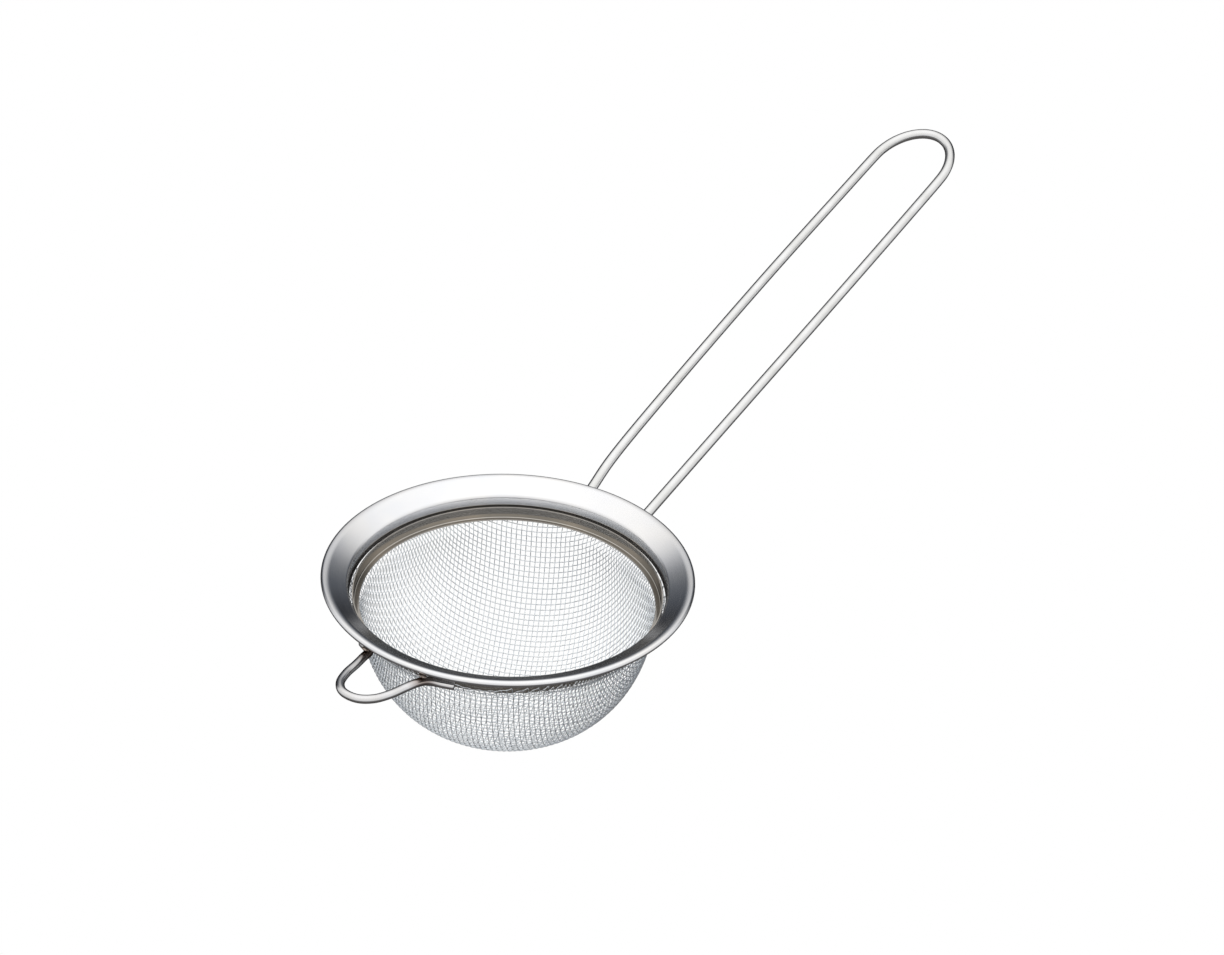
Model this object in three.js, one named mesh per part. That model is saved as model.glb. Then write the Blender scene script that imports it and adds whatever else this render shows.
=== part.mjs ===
// Wire-handled tea strainer: a pressed rim with a rolled edge, a deep bowl of
// woven wire cloth held under the rim by a retaining ring, a long handle bent
// from one wire, and a short wire loop opposite it that rests on the far side
// of a cup. Both wires are welded under the rim.
//
// Millimetres. +Z is up, the rim is level and the handle runs towards +X.
// The origin is the middle of the flat bottom of the bowl.

import * as THREE from 'three';

// ---------------------------------------------------------------- dimensions

// Rim: sheet steel with an edge rolled under, a flange like a shallow funnel and
// a collar that ends upright. Its height is that of the middle of the rolled
// edge, its radius that of the outside. The roll stops at an angle of its
// section. Slopes are measured from the level, bends by their radius.
const rimRadius = 45;
const rimHeight = 41.4;
const beadRadius = 0.8;
const rollEnd = -0.86 * Math.PI;
const rimSheet = 0.4;
const flangeTopBend = 2.6;
const flangeSlope = 29 * (Math.PI / 180);
const flangeWidth = 4.36;
const collarTopBend = 1;
const collarTopSlope = 76 * (Math.PI / 180);
const collarBend = 11.5;

// Bowl of woven wire cloth, made here as one thin shell. Its side is a
// superellipse that ends a little before the vertical, at the wall angle. Above
// it the cloth flares round the outside of the retaining ring: radii, and
// heights from the middle of the rolled edge.
const clothThickness = 0.5;
const bowlRadius = 36.2;
const bowlShoulder = 36.9;
const bowlFullness = 2.3;
const bowlFlat = 8;
const bowlWallAngle = 0.12;
const clothFlare = [[36.3, -9.1], [37.4, -8], [37.75, -7.6], [37.87, -7.2], [38.15, -5.65]];

// Retaining ring: an upright wall, a bend and a narrow ledge that rises inwards.
// Radii, and heights from the middle of the rolled edge.
const ringSheet = 0.3;
const ringTop = [37.35, -4.6];
const ringWallEnd = [37.3, -7.25];
const ringBend = 0.4;
const ringLedgeSlope = Math.PI / 12;
const ringInner = 35.8;

// Handle wire
const handleWire = 2.6;
const handleReach = 189.2;
const handleEndLength = 13.9;
const handleHalfWidth = 10.35;
const handleEndRise = 40.8;
const handleEndSlope = 0.32;

// Rest loop wire
const loopWire = 2.1;
const loopReach = 59.8;
const loopTipHeight = -1.68;

// Welds: distance from the axis of the bowl, angle to the line of the handle,
// height from the middle of the rolled edge, and size outwards, across and up
const handleWeld = { radius: 39.5, angle: 0.206, height: -5.2, size: [1.4, 2.6, 2] };
const loopWeld = { radius: 44.3, angle: 0.193, height: -1.36, size: [1.4, 2.4, 0.7] };

// Facets
const turns = 56;
const wireSides = 10;
const handleSteps = 84;
const loopSteps = 56;
const weldSides = 12;

// -------------------------------------------------------------------- colours

const steel = (color, roughness) => new THREE.MeshStandardMaterial({ color, roughness, metalness: 1 });
const rimSteel = steel(0xb9bcc2, 0.28);
const ringSteel = steel(0xa9a69e, 0.34);
const clothSteel = steel(0xc3c9cd, 0.4);
const handleSteel = steel(0xd9d9da, 0.14);
const loopSteel = steel(0xcfd0d2, 0.14);
const weldSteel = steel(0x5d5048, 0.55);

// -------------------------------------------------------------------- helpers

const point = (x, y) => new THREE.Vector2(x, y);

// Points along an arc about (cx, cy), from angle a to angle b, ends included
function arc(cx, cy, radius, a, b, steps) {
  const points = [];
  for (let i = 0; i <= steps; i += 1) {
    const angle = a + ((b - a) * i) / steps;
    points.push(point(cx + radius * Math.cos(angle), cy + radius * Math.sin(angle)));
  }
  return points;
}

// Lengthens a path with an arc that starts at its last point
function bendOn(path, radius, a, b, steps) {
  const last = path[path.length - 1];
  const cx = last.x - radius * Math.cos(a);
  const cy = last.y - radius * Math.sin(a);
  path.push(...arc(cx, cy, radius, a, b, steps).slice(1));
}

// The path moved sideways: a positive distance moves it to the left of its run
function offset(path, distance) {
  return path.map((p, i) => {
    const before = path[Math.max(i - 1, 0)];
    const after = path[Math.min(i + 1, path.length - 1)];
    const along = after.clone().sub(before).normalize();
    return point(p.x - along.y * distance, p.y + along.x * distance);
  });
}

// A closed section of even thickness about a path
function sheetSection(path, thickness) {
  const left = offset(path, thickness / 2);
  const right = offset(path, -thickness / 2).reverse();
  const section = [...left, ...right];
  section.push(section[0].clone());
  return section;
}

// Turns a closed section about Z: X is the radius, and Y becomes Z. The faces
// point outwards when the section runs anticlockwise.
function turned(section) {
  const anticlockwise = THREE.ShapeUtils.area(section) > 0;
  const profile = anticlockwise ? section : [...section].reverse();
  const geometry = new THREE.LatheGeometry(profile, turns);
  geometry.rotateX(Math.PI / 2);
  return geometry;
}

function mesh(name, geometry, material) {
  const part = new THREE.Mesh(geometry, material);
  part.name = name;
  return part;
}

// A round wire swept along a curve, with flat ends
function wire(curve, diameter, steps) {
  const section = new THREE.Shape(arc(0, 0, diameter / 2, 0, 2 * Math.PI, wireSides).slice(0, -1));
  return new THREE.ExtrudeGeometry(section, { steps, extrudePath: curve, bevelEnabled: false });
}

// A curve through half of a bent wire at +Y, its tip, and the mirrored half.
// Heights are given from the middle of the rolled edge.
function bentWire(half, tip) {
  const raised = (x, y, z) => new THREE.Vector3(x, y, rimHeight + z);
  const left = half.map(([x, y, z]) => raised(x, y, z));
  const right = half.map(([x, y, z]) => raised(x, -y, z)).reverse();
  return new THREE.CatmullRomCurve3([...left, raised(...tip), ...right], false, 'centripetal');
}

// ------------------------------------------------------------------------ rim

// The sheet starts at the open end of the roll, goes round it from below, and
// runs from its top down the flange and the collar
function rimPath() {
  const level = Math.PI / 2;
  const sheetRadius = beadRadius - rimSheet / 2;
  const path = arc(rimRadius - beadRadius, rimHeight, sheetRadius, rollEnd, level, 8);
  bendOn(path, flangeTopBend, level, level + flangeSlope, 3);
  const last = path[path.length - 1];
  const inwards = flangeWidth * Math.cos(flangeSlope);
  path.push(point(last.x - inwards, last.y - flangeWidth * Math.sin(flangeSlope)));
  bendOn(path, collarTopBend, level + flangeSlope, level + collarTopSlope, 3);
  bendOn(path, collarBend, level + collarTopSlope, Math.PI, 3);
  return path;
}

function rim() {
  return mesh('rim', turned(sheetSection(rimPath(), rimSheet)), rimSteel);
}

// ------------------------------------------------------------- cloth and ring

const fromBead = ([r, z]) => point(r, rimHeight + z);

// Middle of the cloth: flat bottom, rounded bowl, straight shoulder and the
// flare up to its edge under the rim
function clothPath() {
  const middle = clothThickness / 2;
  const radius = bowlRadius - middle;
  const power = 2 / bowlFullness;
  const flatAngle = Math.acos((bowlFlat / radius) ** (1 / power));
  const depth = (bowlShoulder - middle) / (Math.sin(flatAngle) ** power);
  const points = [point(0, middle)];
  const steps = 10;
  for (let i = 0; i <= steps; i += 1) {
    const angle = flatAngle + ((bowlWallAngle - flatAngle) * i) / steps;
    const drop = depth * (Math.sin(angle) ** power);
    points.push(point(radius * (Math.cos(angle) ** power), bowlShoulder - drop));
  }
  points.push(...clothFlare.map(fromBead));
  return points;
}

function meshBowl() {
  const path = clothPath();
  const outer = offset(path, -clothThickness / 2);
  const inner = offset(path, clothThickness / 2).reverse();
  outer[0].set(0, 0);
  inner[inner.length - 1].set(0, clothThickness);
  return mesh('mesh_bowl', turned([...outer, ...inner]), clothSteel);
}

function retainingRing() {
  const top = fromBead(ringTop);
  const wallEnd = fromBead(ringWallEnd);
  const lean = Math.atan2(top.x - wallEnd.x, top.y - wallEnd.y);
  const centre = point(wallEnd.x - ringBend * Math.cos(lean), wallEnd.y + ringBend * Math.sin(lean));
  const bend = arc(centre.x, centre.y, ringBend, -lean, -Math.PI / 2 - ringLedgeSlope, 5);
  const last = bend[bend.length - 1];
  const ledge = point(ringInner, last.y + (last.x - ringInner) * Math.tan(ringLedgeSlope));
  return mesh('retaining_ring', turned(sheetSection([top, ...bend, ledge], ringSheet)), ringSteel);
}

// --------------------------------------------------------------------- handle

// Half of the handle: up from under the rim, along one rod and round its half
// of the end, a quarter of an ellipse
function handleHalf() {
  const rod = [
    [39.7, 8.3, -4.7],
    [43.1, 8.5, -2.65],
    [46.8, 8.8, -0.95],
    [54.5, 9.4, 2.4],
    [80, 10, 11.1],
    [125, 10.5, 25.4],
    [160, 10.45, 36.1],
  ];
  const bend = [];
  const steps = 5;
  for (let i = 0; i < steps; i += 1) {
    const angle = (Math.PI / 2) * (1 - i / steps);
    const along = handleEndLength * Math.cos(angle);
    const x = handleReach - handleEndLength + along;
    bend.push([x, handleHalfWidth * Math.sin(angle), handleEndRise + handleEndSlope * along]);
  }
  return [...rod, ...bend];
}

function handle() {
  const tip = [handleReach, 0, handleEndRise + handleEndSlope * handleEndLength];
  return mesh('handle', wire(bentWire(handleHalf(), tip), handleWire, handleSteps), handleSteel);
}

// ------------------------------------------------------------------ rest loop

// Half of the rest loop: along under the flange, out past the rolled edge,
// down the tapering leg and round the corner
const loopHalf = [
  [-38.4, 13.6, -4.75],
  [-39.8, 10.9, -4.5],
  [-41.6, 9.1, -3.7],
  [-44.2, 8.2, -2.85],
  [-48.4, 7.3, -2.5],
  [-53, 6.5, -2.17],
  [-56.9, 5, -1.88],
  [-59.2, 2.6, -1.72],
];

function restLoop() {
  const tip = [-loopReach, 0, loopTipHeight];
  return mesh('rest_loop', wire(bentWire(loopHalf, tip), loopWire, loopSteps), loopSteel);
}

// ---------------------------------------------------------------------- welds

// A flattened nugget of weld metal, turned to face the axis of the bowl
function weld(name, place, angle) {
  const nugget = new THREE.SphereGeometry(0.5, weldSides, 8);
  nugget.scale(...place.size);
  const part = mesh(name, nugget, weldSteel);
  const height = rimHeight + place.height;
  part.position.set(place.radius * Math.cos(angle), place.radius * Math.sin(angle), height);
  part.rotation.z = angle;
  return part;
}

// The handle's nuggets fill the space between the ends of its rods and the
// flange. The rest loop's lie between its legs and the rolled edge.
function welds() {
  return [
    weld('handle_weld_left', handleWeld, handleWeld.angle),
    weld('handle_weld_right', handleWeld, -handleWeld.angle),
    weld('rest_loop_weld_left', loopWeld, Math.PI - loopWeld.angle),
    weld('rest_loop_weld_right', loopWeld, Math.PI + loopWeld.angle),
  ];
}

// ------------------------------------------------------------------- assembly

const teaStrainer = new THREE.Group();
teaStrainer.add(rim(), retainingRing(), meshBowl(), handle(), restLoop(), ...welds());

export default teaStrainer;
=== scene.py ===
"""Tea strainer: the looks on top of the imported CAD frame.

Everything is in metres, in the CAD's frame: the origin is the middle of the
bottom of the bowl, +Z is up and the handle runs towards +X.
"""

import math

import bpy
import numpy as np
from mathutils import Matrix, Vector


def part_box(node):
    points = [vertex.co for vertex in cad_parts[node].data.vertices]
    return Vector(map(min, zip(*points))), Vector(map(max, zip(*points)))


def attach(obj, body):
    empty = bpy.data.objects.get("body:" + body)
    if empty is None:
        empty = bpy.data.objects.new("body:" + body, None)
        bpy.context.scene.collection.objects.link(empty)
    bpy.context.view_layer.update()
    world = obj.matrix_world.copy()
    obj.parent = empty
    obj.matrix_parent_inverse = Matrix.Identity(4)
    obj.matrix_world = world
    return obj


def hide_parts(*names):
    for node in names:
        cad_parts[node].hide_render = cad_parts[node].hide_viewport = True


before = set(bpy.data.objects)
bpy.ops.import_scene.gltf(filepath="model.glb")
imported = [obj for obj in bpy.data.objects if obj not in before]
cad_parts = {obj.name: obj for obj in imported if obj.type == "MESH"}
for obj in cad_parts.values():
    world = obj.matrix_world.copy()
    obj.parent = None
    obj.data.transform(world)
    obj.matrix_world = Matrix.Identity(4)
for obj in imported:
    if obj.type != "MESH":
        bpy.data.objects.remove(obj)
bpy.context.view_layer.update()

MM = 0.001

# ------------------------------------------------------------------ camera

# The rim is seen from 32 degrees above it, with the handle pointing away to
# the right. Offsets are those of the rim's middle in the camera's frame.
CAMERA_ELEVATION = math.radians(32.436)
CAMERA_ROLL = math.radians(2.712)
CAMERA_HEADING = math.radians(34.5)
CAMERA_DEPTH = 818.18 * MM
RIM_LEFT = 24.94 * MM
RIM_DOWN = 23.64 * MM
LENS = 100.08
SENSOR = 36.0
CLIP_NEAR = 0.01
CLIP_FAR = 60.0


def make_camera(target):
    """Looks along the heading, tilted down, with a slight roll."""
    e, h = CAMERA_ELEVATION, CAMERA_HEADING
    ahead = Vector((math.cos(e) * math.cos(h), math.cos(e) * math.sin(h), -math.sin(e)))
    level = Vector((math.sin(h), -math.cos(h), 0.0))
    steep = level.cross(ahead)
    right = level * math.cos(CAMERA_ROLL) + steep * math.sin(CAMERA_ROLL)
    up = steep * math.cos(CAMERA_ROLL) - level * math.sin(CAMERA_ROLL)
    place = target + right * RIM_LEFT + up * RIM_DOWN - ahead * CAMERA_DEPTH
    data = bpy.data.cameras.new("camera")
    data.lens = LENS
    data.sensor_width = SENSOR
    data.clip_start = CLIP_NEAR
    data.clip_end = CLIP_FAR
    camera = bpy.data.objects.new("camera", data)
    basis = Matrix((right, up, -ahead)).transposed()
    camera.matrix_world = Matrix.Translation(place) @ basis.to_4x4()
    bpy.context.scene.collection.objects.link(camera)
    bpy.context.scene.camera = camera


# -------------------------------------------------------------- dimensions

rim_low, rim_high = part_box("rim")
handle_low, handle_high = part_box("handle")
loop_low, loop_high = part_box("rest_loop")

# Rim sheet. The radius and the height come from the CAD piece.
BEAD = 0.8 * MM
SHEET = 0.4 * MM
FLANGE_TOP_BEND = 2.6 * MM
FLANGE_SLOPE = math.radians(29)
FLANGE_WIDTH = 4.36 * MM
COLLAR_TOP_BEND = 1.0 * MM
COLLAR_TOP_SLOPE = math.radians(76)
COLLAR_BEND = 11.5 * MM
ROLL_END = -0.86 * math.pi
RIM_RADIUS = min(rim_high.x, rim_high.y)
RIM_HEIGHT = rim_high.z - BEAD

# Sheet ends are square: the part of half the sheet that is eased off, and the
# part of the end's half width at which the flat across it starts
EASED = 0.15
END_FLAT = 0.8
RIM_TURNS = 288

# Retaining ring: radii, and heights from the middle of the rolled edge
RING_SHEET = 0.3 * MM
RING_TOP = (37.35, -4.6)
RING_WALL_END = (37.3, -7.25)
RING_BEND = 0.4 * MM
RING_LEDGE_SLOPE = math.radians(15)
RING_INNER = 35.8 * MM

# Woven cloth: the flare is its way round the outside of the ring
WIRE_RADIUS = 0.1 * MM
CRIMP = 0.12 * MM
BOWL_RADIUS = 35.95 * MM
BOWL_SHOULDER = 36.9 * MM
BOWL_FULLNESS = 2.3
BOWL_FLAT = 8 * MM
BOWL_WALL_ANGLE = 0.12
CLOTH_FLARE = [(36.3, -9.1), (37.4, -8), (37.75, -7.6), (37.87, -7.2), (38.15, -5.65)]
WARP_PITCH = 1.36 * MM
WEFT_PITCH = 1.29 * MM
WEAVE_TURN = math.radians(27.5)

# Wires
HANDLE_WIRE = 2.6 * MM
HANDLE_REACH = handle_high.x - HANDLE_WIRE / 2
LOOP_WIRE = 2.1 * MM
LOOP_REACH = loop_low.x + LOOP_WIRE / 2
LOOP_TIP_HEIGHT = -1.68 * MM
WIRE_FACETS = 24
WIRE_END_EASE = 0.2
HANDLE_STEP = 0.5 * MM
LOOP_STEP = 0.3 * MM
HANDLE_HEAT = 6 * MM
LOOP_HEAT = 5 * MM


# ------------------------------------------------------------ mesh helpers


def add_mesh(name, points, faces, material, nodes):
    """A smooth mesh that rides on the frame and stands for CAD nodes."""
    mesh = bpy.data.meshes.new(name)
    mesh.from_pydata([tuple(p) for p in points], [], [tuple(f) for f in faces])
    mesh.polygons.foreach_set("use_smooth", [True] * len(mesh.polygons))
    mesh.materials.append(material)
    mesh.update()
    piece = bpy.data.objects.new(name, mesh)
    bpy.context.scene.collection.objects.link(piece)
    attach(piece, "root")
    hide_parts(*nodes)
    return piece


def arc(cx, cy, radius, start, end, steps):
    angles = np.linspace(start, end, steps + 1)
    return np.stack([cx + radius * np.cos(angles), cy + radius * np.sin(angles)], axis=1)


def offset(path, distance):
    """The path moved to the left of its run."""
    along = np.gradient(path, axis=0)
    along /= np.linalg.norm(along, axis=1)[:, None]
    return path + distance * np.stack([-along[:, 1], along[:, 0]], axis=1)


def sheet_section(path, thickness):
    """A closed section about a path, with square ends slightly eased."""
    half = thickness / 2
    ease = EASED * half

    def cap(end, before):
        ahead = (end - before) / np.linalg.norm(end - before)
        side = np.array([ahead[1], -ahead[0]])
        corner = []
        for a in np.linspace(0, math.pi / 2, 5)[1:]:
            corner.append((half - ease + ease * math.cos(a), ease * math.sin(a)))
        corner.append((END_FLAT * (half - ease), ease))
        mirrored = [(-across, on) for across, on in reversed(corner)]
        return [end + across * side + on * ahead for across, on in corner + mirrored]

    right = offset(path, -half)
    left = offset(path, half)[::-1]
    return np.array([*right, *cap(path[-1], path[-2]), *left, *cap(path[0], path[1])])


def revolve(section, turns):
    """Turns a closed section of (radius, height) about the Z axis."""
    count = len(section)
    points, faces = [], []
    for i in range(turns):
        angle = 2 * math.pi * i / turns
        points += [(r * math.cos(angle), r * math.sin(angle), z) for r, z in section]
    for i in range(turns):
        here, there = i * count, (i + 1) % turns * count
        for k in range(count):
            after = (k + 1) % count
            faces.append((here + k, there + k, there + after, here + after))
    return points, faces


def resample(path, step):
    """The path with points at even spacing."""
    length = np.concatenate([[0], np.cumsum(np.linalg.norm(np.diff(path, axis=0), axis=1))])
    at = np.linspace(0, length[-1], max(2, int(round(length[-1] / step)) + 1))
    return np.stack([np.interp(at, length, path[:, k]) for k in range(path.shape[1])], axis=1)


# --------------------------------------------------------------------- rim


def from_bead(place):
    """Metres from millimetres of radius and height above the bead's middle."""
    return np.array([place[0] * MM, RIM_HEIGHT + place[1] * MM])


def bend_on(path, radius, start, end, steps):
    """The path lengthened by an arc that starts at its last point."""
    centre = path[-1] - radius * np.array([math.cos(start), math.sin(start)])
    return np.concatenate([path, arc(*centre, radius, start, end, steps)[1:]])


def rim_path():
    """From the open end of the roll, round it, down the flange and collar."""
    level = math.pi / 2
    path = arc(RIM_RADIUS - BEAD, RIM_HEIGHT, BEAD - SHEET / 2, ROLL_END, level, 36)
    path = bend_on(path, FLANGE_TOP_BEND, level, level + FLANGE_SLOPE, 12)
    down = np.array([-math.cos(FLANGE_SLOPE), -math.sin(FLANGE_SLOPE)])
    steps = 24
    flange = [path[-1] + FLANGE_WIDTH * down * k / steps for k in range(1, steps + 1)]
    path = np.concatenate([path, flange])
    slopes = level + FLANGE_SLOPE, level + COLLAR_TOP_SLOPE
    path = bend_on(path, COLLAR_TOP_BEND, *slopes, 10)
    return bend_on(path, COLLAR_BEND, slopes[1], math.pi, 14)


def make_rim(material):
    points, faces = revolve(sheet_section(rim_path(), SHEET), RIM_TURNS)
    add_mesh("rolled_rim", points, faces, material, ["rim"])


def ring_path():
    """Down the wall, round the bend and in along the ledge."""
    top, wall_end = from_bead(RING_TOP), from_bead(RING_WALL_END)
    lean = math.atan2(top[0] - wall_end[0], top[1] - wall_end[1])
    centre = wall_end + RING_BEND * np.array([-math.cos(lean), math.sin(lean)])
    bend = arc(*centre, RING_BEND, -lean, -math.pi / 2 - RING_LEDGE_SLOPE, 14)
    rise = (bend[-1][0] - RING_INNER) * math.tan(RING_LEDGE_SLOPE)
    wall = [top + (wall_end - top) * k / 6 for k in range(6)]
    return np.array([*wall, *bend, (RING_INNER, bend[-1][1] + rise)])


def make_ring(material):
    points, faces = revolve(sheet_section(ring_path(), RING_SHEET), RIM_TURNS)
    add_mesh("cloth_ring", points, faces, material, ["retaining_ring"])


# ------------------------------------------------------------- woven cloth


def cloth_profile():
    """Tables of radius and height along the middle of the cloth."""
    low = CRIMP + WIRE_RADIUS
    power = 2 / BOWL_FULLNESS
    flat = math.acos((BOWL_FLAT / BOWL_RADIUS) ** (1 / power))
    depth = (BOWL_SHOULDER - low) / math.sin(flat) ** power
    angle = np.linspace(flat, BOWL_WALL_ANGLE, 300)
    side = np.stack(
        [
            BOWL_RADIUS * np.cos(angle) ** power,
            BOWL_SHOULDER - depth * np.sin(angle) ** power,
        ],
        axis=1,
    )
    edge = [from_bead(place) for place in CLOTH_FLARE]
    path = resample(np.array([(0, low), *side, *edge]), 0.1 * MM)
    # rounds the corners over about two wire spacings
    window = 13
    kernel = np.ones(window) / window
    mirror = path[1:window][::-1] * np.array([-1, 1])
    beyond = 2 * path[-1] - path[-window:-1][::-1]
    padded = np.concatenate([mirror, path, beyond])
    smooth = np.stack([np.convolve(padded[:, k], kernel, "same") for k in (0, 1)], axis=1)
    smooth = smooth[window - 1 : -(window - 1)]
    length = np.concatenate([[0], np.cumsum(np.linalg.norm(np.diff(smooth, axis=0), axis=1))])
    return length, smooth[:, 0], smooth[:, 1]


class Bowl:
    """The surface of the cloth, by length from the pole and by angle."""

    def __init__(self):
        self.length, self.radius, self.height = cloth_profile()
        self.radius_rate = np.gradient(self.radius, self.length)
        self.height_rate = np.gradient(self.height, self.length)
        self.end = self.length[-1]

    def point(self, s, angle):
        r = np.interp(s, self.length, self.radius)
        z = np.interp(s, self.length, self.height)
        return np.array([r * math.cos(angle), r * math.sin(angle), z])

    def tangents(self, s, angle):
        r = np.interp(s, self.length, self.radius)
        dr = np.interp(s, self.length, self.radius_rate)
        dz = np.interp(s, self.length, self.height_rate)
        outward = np.array([dr * math.cos(angle), dr * math.sin(angle), dz])
        around = np.array([-r * math.sin(angle), r * math.cos(angle), 0.0])
        return outward, around

    def normals(self, points):
        """Unit normals that point out of the bowl, for many points."""
        r = np.hypot(points[:, 0], points[:, 1])
        shape = np.stack([self.radius, self.height], axis=1)
        flat = np.stack([r, points[:, 2]], axis=1)
        near = np.array([np.argmin(((shape - p) ** 2).sum(axis=1)) for p in flat])
        dr, dz = self.radius_rate[near], self.height_rate[near]
        size = np.hypot(dr, dz)
        safe = np.where(r > 1e-9, r, 1.0)
        out, down = dz / size, -dr / size
        return np.stack([out * points[:, 0] / safe, out * points[:, 1] / safe, down], axis=1)

    def beyond(self, first, second, corner, first_pitch, second_pitch):
        """The crossing one pitch from each of two crossings, or None."""
        a, b = self.point(*first), self.point(*second)
        guess = a + b - self.point(*corner)
        angle = math.atan2(guess[1], guess[0])
        s = (first[0] + second[0]) / 2
        for _ in range(3):
            s += float(np.dot(guess - self.point(s, angle), self.tangents(s, angle)[0]))
        for _ in range(12):
            p = self.point(s, angle)
            outward, around = self.tangents(s, angle)
            miss = np.array(
                [
                    np.dot(p - a, p - a) - first_pitch**2,
                    np.dot(p - b, p - b) - second_pitch**2,
                ]
            )
            slope = 2 * np.array(
                [
                    [np.dot(p - a, outward), np.dot(p - a, around)],
                    [np.dot(p - b, outward), np.dot(p - b, around)],
                ]
            )
            if abs(np.linalg.det(slope)) < 1e-15:
                return None
            step = np.linalg.solve(slope, -miss)
            s += float(np.clip(step[0], -first_pitch, first_pitch))
            angle += float(np.clip(step[1], -0.2, 0.2))
            if np.abs(miss).max() < 1e-12:
                return s, angle
        return None


def weave_net(bowl):
    """Crossings of a flat cloth pressed into the bowl.

    Wires keep their length between crossings, so the cells shear into
    diamonds up the sides. One quarter is solved and then mirrored.
    """
    count = int(bowl.end / min(WARP_PITCH, WEFT_PITCH)) + 2
    quarter = {(0, 0): (0.0, 0.0)}
    for i in range(1, count):
        for key, last, pitch, angle in (
            ((i, 0), (i - 1, 0), WARP_PITCH, 0.0),
            ((0, i), (0, i - 1), WEFT_PITCH, math.pi / 2),
        ):
            s = quarter[last][0] + pitch
            for _ in range(5):
                gap = bowl.point(s, 0) - bowl.point(quarter[last][0], 0)
                s += pitch - np.linalg.norm(gap)
            quarter[key] = (s, angle)
    for i in range(1, count):
        for j in range(1, count):
            around = [quarter.get(k) for k in ((i - 1, j), (i, j - 1), (i - 1, j - 1))]
            if None in around or max(around[0][0], around[1][0]) > bowl.end:
                continue
            found = bowl.beyond(*around, WARP_PITCH, WEFT_PITCH)
            if found and found[0] > min(around[0][0], around[1][0]):
                quarter[(i, j)] = found
    turn, back = math.cos(WEAVE_TURN), math.sin(WEAVE_TURN)
    net = {}
    for (i, j), (s, angle) in quarter.items():
        x, y, z = bowl.point(s, angle)
        for p in (1, -1):
            for q in (1, -1):
                place = (p * x * turn - q * y * back, p * x * back + q * y * turn, z)
                net[(p * i, q * j)] = (np.array(place), s)
    return net


def wire_runs(net, bowl, across):
    """Each wire's crossings in order, as (point, side) lists."""
    lines = {}
    for key, (place, s) in net.items():
        fixed, moving = (key[1], key[0]) if across else key
        lines.setdefault(fixed, {})[moving] = (place, s, (key[0] + key[1]) % 2)
    for fixed in sorted(lines):
        line = lines[fixed]
        inside = [k for k in sorted(line) if line[k][1] <= bowl.end]
        if len(inside) >= 3:
            yield [line[k][0] for k in inside], [line[k][2] for k in inside]


def woven_tube(points, sides, bowl, first_over, samples, facets):
    """A wire through its crossings, passing over and under by turns."""
    points = np.array(points)
    count = len(points)
    at = np.linspace(0, count - 1, (count - 1) * samples + 1)
    lower = np.minimum(at.astype(int), count - 2)
    t = (at - lower)[:, None]
    before = points[np.maximum(lower - 1, 0)]
    after = points[np.minimum(lower + 2, count - 1)]
    a, b = points[lower], points[lower + 1]
    middle = 0.5 * (
        2 * a
        + (b - before) * t
        + (2 * before - 5 * a + 4 * b - after) * t**2
        + (3 * a - before - 3 * b + after) * t**3
    )
    out = bowl.normals(middle)
    sign = 1.0 if (sides[0] == 0) == first_over else -1.0
    middle = middle + out * (sign * CRIMP * np.cos(math.pi * at))[:, None]
    along = np.gradient(middle, axis=0)
    along /= np.linalg.norm(along, axis=1)[:, None]
    side = np.cross(along, out)
    side /= np.linalg.norm(side, axis=1)[:, None]
    face = np.cross(side, along)
    turn = 2 * math.pi * np.arange(facets) / facets
    ring = (
        side[:, None, :] * np.cos(turn)[None, :, None]
        + face[:, None, :] * np.sin(turn)[None, :, None]
    )
    return (middle[:, None, :] + WIRE_RADIUS * ring).reshape(-1, 3), len(middle)


def make_cloth(name, bowl, net, across, material):
    """All the wires of one direction, as one piece."""
    facets, samples = 6, 4
    points, faces, start = [], [], 0
    for line, sides in wire_runs(net, bowl, across):
        tube, rings = woven_tube(line, sides, bowl, across, samples, facets)
        points.append(tube)
        for k in range(rings - 1):
            here, there = start + k * facets, start + (k + 1) * facets
            for n in range(facets):
                m = (n + 1) % facets
                faces.append((here + n, here + m, there + m, there + n))
        faces.append(tuple(start + n for n in range(facets - 1, -1, -1)))
        faces.append(tuple(start + (rings - 1) * facets + n for n in range(facets)))
        start += len(tube)
    add_mesh(name, np.concatenate(points), faces, material, ["mesh_bowl"])


# -------------------------------------------------------------- bent wires


def smooth_curve(points, step):
    """A centripetal Catmull-Rom curve through the points, evenly sampled."""
    points = np.array(points, float)
    first = 2 * points[0] - points[1]
    last = 2 * points[-1] - points[-2]
    p = np.array([first, *points, last])
    out = []
    for k in range(1, len(p) - 2):
        quad = p[k - 1 : k + 3]
        knots = [0.0]
        for a, b in zip(quad[:-1], quad[1:]):
            knots.append(knots[-1] + max(np.linalg.norm(b - a), 1e-9) ** 0.5)
        t0, t1, t2, t3 = knots
        for t in np.linspace(t1, t2, 40, endpoint=False):
            a1 = quad[0] * (t1 - t) / (t1 - t0) + quad[1] * (t - t0) / (t1 - t0)
            a2 = quad[1] * (t2 - t) / (t2 - t1) + quad[2] * (t - t1) / (t2 - t1)
            a3 = quad[2] * (t3 - t) / (t3 - t2) + quad[3] * (t - t2) / (t3 - t2)
            b1 = a1 * (t2 - t) / (t2 - t0) + a2 * (t - t0) / (t2 - t0)
            b2 = a2 * (t3 - t) / (t3 - t1) + a3 * (t - t1) / (t3 - t1)
            out.append(b1 * (t2 - t) / (t2 - t1) + b2 * (t - t1) / (t2 - t1))
    out.append(points[-1])
    return resample(np.array(out), step)


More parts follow.
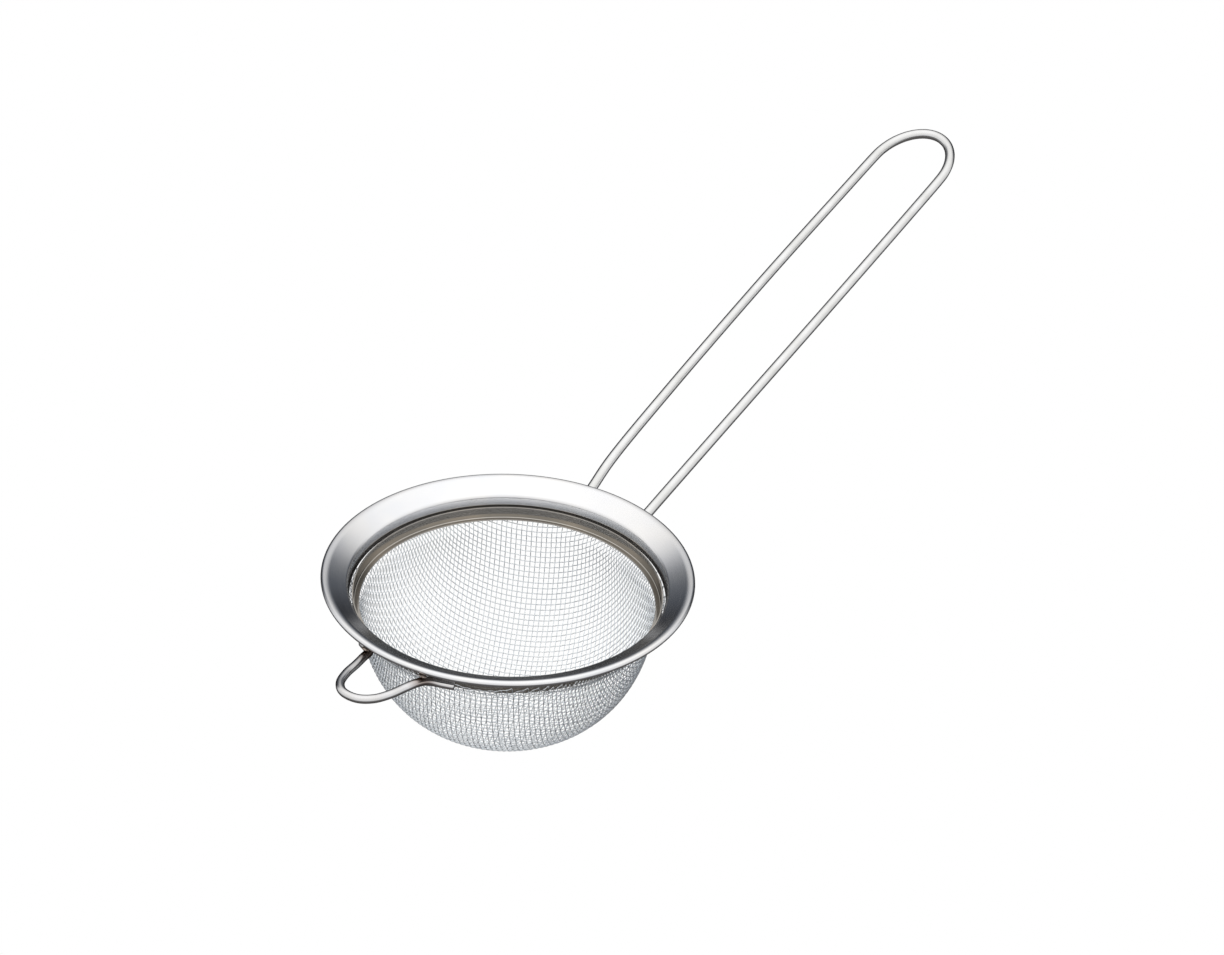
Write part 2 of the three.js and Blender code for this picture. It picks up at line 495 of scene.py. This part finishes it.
def swept_wire(path, radius, facets):
    """A round wire along a path, with ends ground slightly round."""
    count = len(path)
    along = np.gradient(path, axis=0)
    along /= np.linalg.norm(along, axis=1)[:, None]
    side = np.cross(along[0], [0.0, 0.0, 1.0])
    side /= np.linalg.norm(side)
    turn = 2 * math.pi * np.arange(facets) / facets
    points = []

    def ring(centre, direction, across, size):
        up = np.cross(across, direction)
        return [centre + size * (across * math.cos(a) + up * math.sin(a)) for a in turn]

    edge = WIRE_END_EASE * radius
    for k in range(count):
        side = side - along[k] * np.dot(side, along[k])
        side /= np.linalg.norm(side)
        if k == 0:
            points += ring(path[0] - along[0] * edge, along[0], side, radius - edge)
        points += ring(path[k], along[k], side, radius)
        if k == count - 1:
            points += ring(path[k] + along[k] * edge, along[k], side, radius - edge)
    faces = []
    rings = count + 2
    for k in range(rings - 1):
        for n in range(facets):
            m = (n + 1) % facets
            here, there = k * facets, (k + 1) * facets
            faces.append((here + n, there + n, there + m, here + m))
    faces.append(tuple(range(facets)))
    faces.append(tuple((rings - 1) * facets + n for n in range(facets - 1, -1, -1)))
    return points, faces


def bent_path(half, tip, step):
    """The whole of a bent wire from half of it. Heights are from the bead."""
    left = [(x * MM, y * MM, RIM_HEIGHT + z * MM) for x, y, z in half]
    right = [(x, -y, z) for x, y, z in reversed(left)]
    middle = (tip[0], 0.0, RIM_HEIGHT + tip[1])
    return smooth_curve([*left, middle, *right], step)


def make_handle(material):
    half = [
        (39.7, 8.3, -4.7),
        (43.1, 8.5, -2.65),
        (46.8, 8.8, -0.95),
        (54.5, 9.4, 2.4),
        (80, 10, 11.1),
        (125, 10.5, 25.4),
        (160, 10.45, 36.1),
    ]
    end_length, half_width, rise, slope = 13.9, 10.35, 40.8, 0.32
    start = HANDLE_REACH / MM - end_length
    steps = 10
    for k in range(steps):
        angle = math.pi / 2 * (1 - k / steps)
        on = end_length * math.cos(angle)
        half.append((start + on, half_width * math.sin(angle), rise + slope * on))
    tip = (HANDLE_REACH, (rise + slope * end_length) * MM)
    path = bent_path(half, tip, HANDLE_STEP)
    points, faces = swept_wire(path, HANDLE_WIRE / 2, WIRE_FACETS)
    add_mesh("handle_wire", points, faces, material, ["handle"])


def make_loop(material):
    half = [
        (-38.4, 13.6, -4.75),
        (-39.8, 10.9, -4.5),
        (-41.6, 9.1, -3.7),
        (-44.2, 8.2, -2.85),
        (-48.4, 7.3, -2.5),
        (-53, 6.5, -2.17),
        (-56.9, 5, -1.88),
        (-59.2, 2.6, -1.72),
    ]
    path = bent_path(half, (LOOP_REACH, LOOP_TIP_HEIGHT), LOOP_STEP)
    points, faces = swept_wire(path, LOOP_WIRE / 2, WIRE_FACETS)
    add_mesh("loop_wire", points, faces, material, ["rest_loop"])


# ------------------------------------------------------------------- welds


def make_weld(node, material):
    """A nugget with an uneven, rippled skin, the size of its CAD piece."""
    low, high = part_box(node)
    centre, half = (low + high) / 2, (high - low) / 2
    rows, columns = 14, 24
    points, faces = [], []
    for i in range(rows + 1):
        polar = math.pi * i / rows
        for j in range(columns):
            around = 2 * math.pi * j / columns
            lump = 1 - 0.06 * (1 + math.sin(3 * around + 4 * polar) * math.sin(2 * polar))
            size = lump * math.sin(polar)
            points.append(
                (
                    centre.x + half.x * size * math.cos(around),
                    centre.y + half.y * size * math.sin(around),
                    centre.z + half.z * lump * math.cos(polar),
                )
            )
    for i in range(rows):
        for j in range(columns):
            k = (j + 1) % columns
            a, b = i * columns + j, i * columns + k
            faces.append((a, a + columns, b + columns, b))
    mesh_points, mesh_faces = weld_poles(points, faces, rows, columns)
    add_mesh(node + "_nugget", mesh_points, mesh_faces, material, [node])


def weld_poles(points, faces, rows, columns):
    """Joins the rings at the two poles into single points."""
    top, bottom = 0, rows * columns
    join = {top + j: top for j in range(columns)}
    join.update({bottom + j: bottom for j in range(columns)})
    used = sorted({join.get(k, k) for k in range(len(points))})
    number = {k: n for n, k in enumerate(used)}
    made = []
    for face in faces:
        ring = []
        for k in face:
            n = number[join.get(k, k)]
            if n not in ring:
                ring.append(n)
        made.append(tuple(ring))
    return [points[k] for k in used], made


# --------------------------------------------------------------- materials

HEAT_BROWN = (0.16, 0.09, 0.05)
WELD_DARK = (0.1, 0.06, 0.04)
WELD_PALE = (0.4, 0.36, 0.33)


def new_material(name, colour, roughness, edge=1.0):
    """A metal. Its edge is how bright it stays where it is seen aslant."""
    material = bpy.data.materials.new(name)
    material.use_nodes = True
    shader = material.node_tree.nodes["Principled BSDF"]
    shader.inputs["Base Color"].default_value = (*colour, 1)
    shader.inputs["Metallic"].default_value = 1.0
    shader.inputs["Roughness"].default_value = roughness
    shader.inputs["Specular Tint"].default_value = (edge, edge, edge, 1)
    return material, material.node_tree, shader


def turned_coordinates(tree, radial, around, height):
    """A vector of radius, angle and height, each scaled, for turned grain."""
    nodes, links = tree.nodes, tree.links
    place = nodes.new("ShaderNodeTexCoord")
    split = nodes.new("ShaderNodeSeparateXYZ")
    links.new(place.outputs["Object"], split.inputs[0])
    flat = nodes.new("ShaderNodeCombineXYZ")
    links.new(split.outputs["X"], flat.inputs["X"])
    links.new(split.outputs["Y"], flat.inputs["Y"])
    length = nodes.new("ShaderNodeVectorMath")
    length.operation = "LENGTH"
    links.new(flat.outputs[0], length.inputs[0])
    angle = nodes.new("ShaderNodeMath")
    angle.operation = "ARCTAN2"
    links.new(split.outputs["Y"], angle.inputs[0])
    links.new(split.outputs["X"], angle.inputs[1])
    joined = nodes.new("ShaderNodeCombineXYZ")
    for source, scale, socket in (
        (length.outputs["Value"], radial, "X"),
        (angle.outputs[0], around, "Y"),
        (split.outputs["Z"], height, "Z"),
    ):
        scaled = nodes.new("ShaderNodeMath")
        scaled.operation = "MULTIPLY"
        scaled.inputs[1].default_value = scale
        links.new(source, scaled.inputs[0])
        links.new(scaled.outputs[0], joined.inputs[socket])
    return joined.outputs[0]


def noise(tree, vector, scale, detail):
    node = tree.nodes.new("ShaderNodeTexNoise")
    node.inputs["Scale"].default_value = scale
    node.inputs["Detail"].default_value = detail
    if vector is not None:
        tree.links.new(vector, node.inputs["Vector"])
    return node.outputs["Fac"]


def ranged(tree, value, low, high, out_low, out_high):
    node = tree.nodes.new("ShaderNodeMapRange")
    for socket, number in (
        ("From Min", low),
        ("From Max", high),
        ("To Min", out_low),
        ("To Max", out_high),
    ):
        node.inputs[socket].default_value = number
    tree.links.new(value, node.inputs["Value"])
    return node.outputs["Result"]


def bump(tree, shader, height, strength, distance):
    node = tree.nodes.new("ShaderNodeBump")
    node.inputs["Strength"].default_value = strength
    node.inputs["Distance"].default_value = distance
    tree.links.new(height, node.inputs["Height"])
    tree.links.new(node.outputs[0], shader.inputs["Normal"])


def mix_colour(tree, factor, first, second):
    node = tree.nodes.new("ShaderNodeMix")
    node.data_type = "RGBA"
    tree.links.new(factor, node.inputs["Factor"])
    for socket, colour in ((node.inputs[6], first), (node.inputs[7], second)):
        if isinstance(colour, tuple):
            socket.default_value = (*colour, 1)
        else:
            tree.links.new(colour, socket)
    return node.outputs[2]


def object_place(tree):
    return tree.nodes.new("ShaderNodeTexCoord").outputs["Object"]


def near_places(tree, places, reach):
    """1 at the given places, falling to 0 at the reach from them."""
    total = None
    for place in places:
        distance = tree.nodes.new("ShaderNodeVectorMath")
        distance.operation = "DISTANCE"
        distance.inputs[1].default_value = place
        tree.links.new(object_place(tree), distance.inputs[0])
        near = ranged(tree, distance.outputs["Value"], 0.0, reach, 1.0, 0.0)
        if total is None:
            total = near
        else:
            most = tree.nodes.new("ShaderNodeMath")
            most.operation = "MAXIMUM"
            tree.links.new(total, most.inputs[0])
            tree.links.new(near, most.inputs[1])
            total = most.outputs[0]
    return total


def turned_steel(name, colour, tint, edge, roughness, spread, anisotropy):
    """Sheet steel with fine grain that runs round the rim."""
    material, tree, shader = new_material(name, colour, roughness, edge)
    grain = noise(tree, turned_coordinates(tree, 9000, 3, 9000), 1.0, 3)
    cloud = noise(tree, object_place(tree), 90, 2)
    tone = mix_colour(tree, ranged(tree, cloud, 0.35, 0.7, 0, 1), colour, tint)
    tree.links.new(tone, shader.inputs["Base Color"])
    rough = ranged(tree, grain, 0.3, 0.7, roughness - spread, roughness + spread)
    tree.links.new(rough, shader.inputs["Roughness"])
    shader.inputs["Anisotropic"].default_value = anisotropy
    tangent = tree.nodes.new("ShaderNodeTangent")
    tangent.direction_type = "RADIAL"
    tangent.axis = "Z"
    tree.links.new(tangent.outputs[0], shader.inputs["Tangent"])
    bump(tree, shader, grain, 0.12, 0.00002)
    return material


def drawn_wire(name, colour, tint, edge, roughness, heat_places, heat_reach):
    """Bright drawn wire, darker at its edges, brown from heat near its welds."""
    material, tree, shader = new_material(name, colour, roughness, edge)
    scratch = noise(tree, object_place(tree), 1400, 4)
    cloud = noise(tree, object_place(tree), 160, 2)
    tone = mix_colour(tree, ranged(tree, cloud, 0.35, 0.7, 0, 1), colour, tint)
    if heat_places:
        heat = near_places(tree, heat_places, heat_reach)
        tone = mix_colour(tree, heat, tone, HEAT_BROWN)
    tree.links.new(tone, shader.inputs["Base Color"])
    rough = ranged(tree, scratch, 0.3, 0.75, roughness * 0.7, roughness * 1.5)
    tree.links.new(rough, shader.inputs["Roughness"])
    bump(tree, shader, scratch, 0.05, 0.00001)
    return material


def weld_metal():
    material, tree, shader = new_material("weld_metal", (0.2, 0.15, 0.11), 0.5)
    lumps = noise(tree, object_place(tree), 2500, 4)
    tone = mix_colour(tree, ranged(tree, lumps, 0.35, 0.65, 0, 1), WELD_DARK, WELD_PALE)
    tree.links.new(tone, shader.inputs["Base Color"])
    bump(tree, shader, lumps, 0.4, 0.0001)
    return material


# ------------------------------------------------------------------ studio

# The world's colours are stored scaled, since a ramp holds at most 1.
TENT_SCALE = 0.4

# The tent gives way to the wall between these cosines of the angle away from
# the camera's heading.
WALL_STARTS = 0.4
WALL_FULL = 0.68


def make_floor():
    """A plain pale floor, far below, that rises into a cove all round."""
    depth, reach, corner, top = -1.3, 5.0, 1.5, 6.0
    profile = [(0.0, depth)]
    level = math.pi / 2
    cove = arc(reach - corner, depth + corner, corner, -level, 0, 16)
    dome = arc(0, top - reach, reach, 0.25, level, 16)
    profile += [tuple(p) for p in (*cove, *dome)]
    points, faces, turns = [], [], 48
    for r, z in profile:
        r = max(r, 0.001)
        for j in range(turns):
            a = 2 * math.pi * j / turns
            points.append((r * math.cos(a), r * math.sin(a), z))
    for i in range(len(profile) - 1):
        here, there = i * turns, (i + 1) * turns
        for j in range(turns):
            k = (j + 1) % turns
            faces.append((here + j, here + k, there + k, there + j))
    mesh = bpy.data.meshes.new("studio_floor")
    mesh.from_pydata(points, [], faces)
    mesh.polygons.foreach_set("use_smooth", [True] * len(mesh.polygons))
    floor = bpy.data.objects.new("studio_floor", mesh)
    bpy.context.scene.collection.objects.link(floor)
    material = bpy.data.materials.new("floor_white")
    material.use_nodes = True
    tree = material.node_tree
    tree.nodes.clear()
    glow = tree.nodes.new("ShaderNodeEmission")
    glow.inputs["Strength"].default_value = 1.0
    out = tree.nodes.new("ShaderNodeOutputMaterial")
    tree.links.new(glow.outputs[0], out.inputs["Surface"])
    mesh.materials.append(material)
    # the world lights the strainer through it
    floor.visible_glossy = False
    floor.visible_diffuse = False
    floor.visible_shadow = False


def make_world():
    """A light studio: a tent round the camera, a room's wall beyond.

    Both are brightest overhead. Just below the horizon both are dark, and the
    table beyond the strainer is pale again.
    """
    world = bpy.data.worlds.new("studio")
    bpy.context.scene.world = world
    world.use_nodes = True
    tree = world.node_tree
    nodes, links = tree.nodes, tree.links
    direction = nodes.new("ShaderNodeTexCoord").outputs["Generated"]

    def along(axis):
        dot = nodes.new("ShaderNodeVectorMath")
        dot.operation = "DOT_PRODUCT"
        dot.inputs[1].default_value = axis
        links.new(direction, dot.inputs[0])
        return dot.outputs["Value"]

    def ramp(value, stops):
        node = nodes.new("ShaderNodeValToRGB")
        links.new(ranged(tree, value, -1, 1, 0, 1), node.inputs[0])
        elements = node.color_ramp.elements
        while len(elements) < len(stops):
            elements.new(0.5)
        for element, (at, colour) in zip(elements, stops):
            element.position = (at + 1) / 2
            element.color = (*(TENT_SCALE * c for c in colour), 1)
        return node.outputs[0]

    rise = along((0, 0, 1))
    ahead = along((math.cos(CAMERA_HEADING), math.sin(CAMERA_HEADING), 0))
    tent = ramp(
        rise,
        [
            (-0.95, (0.15, 0.145, 0.145)),
            (-0.7, (0.14, 0.13, 0.125)),
            (-0.53, (0.23, 0.225, 0.225)),
            (-0.4, (0.31, 0.31, 0.32)),
            (-0.32, (0.44, 0.445, 0.46)),
            (-0.24, (0.72, 0.73, 0.75)),
            (-0.15, (1.08, 1.08, 1.09)),
            (0.3, (1.16, 1.16, 1.16)),
            (0.6, (1.35, 1.34, 1.33)),
            (1.0, (1.6, 1.6, 1.6)),
        ],
    )
    wall = ramp(
        rise,
        [
            (-0.95, (0.13, 0.125, 0.125)),
            (-0.6, (0.09, 0.086, 0.086)),
            (-0.5, (0.12, 0.118, 0.12)),
            (-0.4, (0.34, 0.34, 0.35)),
            (-0.27, (0.13, 0.127, 0.127)),
            (-0.12, (0.045, 0.043, 0.046)),
            (0.0, (0.046, 0.047, 0.053)),
            (0.1, (0.08, 0.085, 0.098)),
            (0.2, (0.12, 0.13, 0.15)),
            (0.32, (0.18, 0.193, 0.216)),
            (0.42, (0.31, 0.32, 0.34)),
            (0.53, (0.77, 0.77, 0.775)),
            (0.63, (1.1, 1.09, 1.08)),
            (1.0, (1.6, 1.6, 1.6)),
        ],
    )
    glow = nodes["Background"]
    beyond = ranged(tree, ahead, WALL_STARTS, WALL_FULL, 0, 1)
    links.new(mix_colour(tree, beyond, tent, wall), glow.inputs["Color"])
    glow.inputs["Strength"].default_value = 1 / TENT_SCALE


# ------------------------------------------------------------------- build

make_camera(Vector((0, 0, RIM_HEIGHT)))

weld_places = {
    node: tuple((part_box(node)[0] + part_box(node)[1]) / 2)
    for node in (
        "handle_weld_left",
        "handle_weld_right",
        "rest_loop_weld_left",
        "rest_loop_weld_right",
    )
}
handle_welds = [weld_places["handle_weld_left"], weld_places["handle_weld_right"]]
loop_welds = [weld_places["rest_loop_weld_left"], weld_places["rest_loop_weld_right"]]

rim_tones = (0.62, 0.625, 0.64), (0.66, 0.655, 0.65)
make_rim(turned_steel("rim_steel", *rim_tones, 0.25, 0.14, 0.035, 0.4))
# The ring gets darker, browner tones than the rim's steel: painted shade for the recess it
# sits in between the collar and the cloth.
ring_shaded_tones = (0.36, 0.345, 0.32), (0.44, 0.41, 0.37)
make_ring(turned_steel("ring_steel", *ring_shaded_tones, 0.6, 0.14, 0.04, 0.2))

bowl = Bowl()
net = weave_net(bowl)
cloth_tones = (0.7, 0.735, 0.77), (0.77, 0.8, 0.82)
cloth = drawn_wire("cloth_wire", *cloth_tones, 0.85, 0.18, [], 0)
make_cloth("cloth_warp", bowl, net, True, cloth)
make_cloth("cloth_weft", bowl, net, False, cloth)

handle_tones = (0.62, 0.62, 0.62), (0.55, 0.55, 0.54)
make_handle(drawn_wire("handle_wire", *handle_tones, 0.0, 0.12, handle_welds, HANDLE_HEAT))
loop_tones = (0.6, 0.6, 0.61), (0.54, 0.53, 0.52)
make_loop(drawn_wire("loop_wire", *loop_tones, 0.0, 0.12, loop_welds, LOOP_HEAT))

weld = weld_metal()
for node in weld_places:
    make_weld(node, weld)

make_floor()
make_world()
bpy.context.scene.view_settings.view_transform = "Standard"
